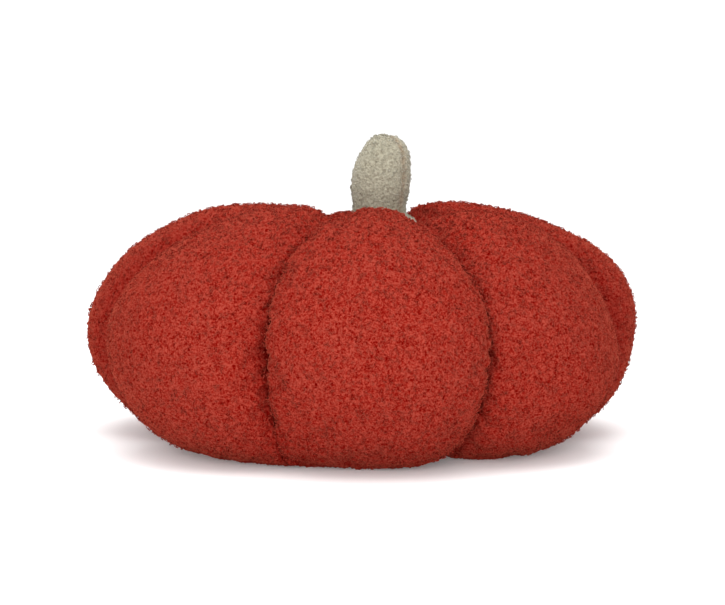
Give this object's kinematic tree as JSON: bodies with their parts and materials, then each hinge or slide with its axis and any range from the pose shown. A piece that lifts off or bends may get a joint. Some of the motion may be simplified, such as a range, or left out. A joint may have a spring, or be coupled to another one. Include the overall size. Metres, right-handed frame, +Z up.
{
  "type": "fabric pumpkin",
  "caption": "Cushion in the shape of a pumpkin: filled teddy-fabric gores sewn round a centre, with a soft stuffed stem on top, that rests on a flat surface.",
  "frame": {"origin": "on the floor, under the middle of the object's box", "axes": "+Z up along the stem; the front gore faces -Y; +X to the right seen from the front, along the widest side"},
  "size_m": [0.4132, 0.3868, 0.2256],
  "materials": {
    "rust_teddy": "curly teddy pile, matt with a soft sheen",
    "taupe_boucle": "short curly boucle, matt"
  },
  "bodies": {
    "root": {"gore_front": "rust_teddy", "gore_front_right": "rust_teddy", "gore_back_right": "rust_teddy", "gore_back": "rust_teddy", "gore_back_left": "rust_teddy", "gore_front_left": "rust_teddy", "stem": "taupe_boucle"}
  },
  "joints": []
}
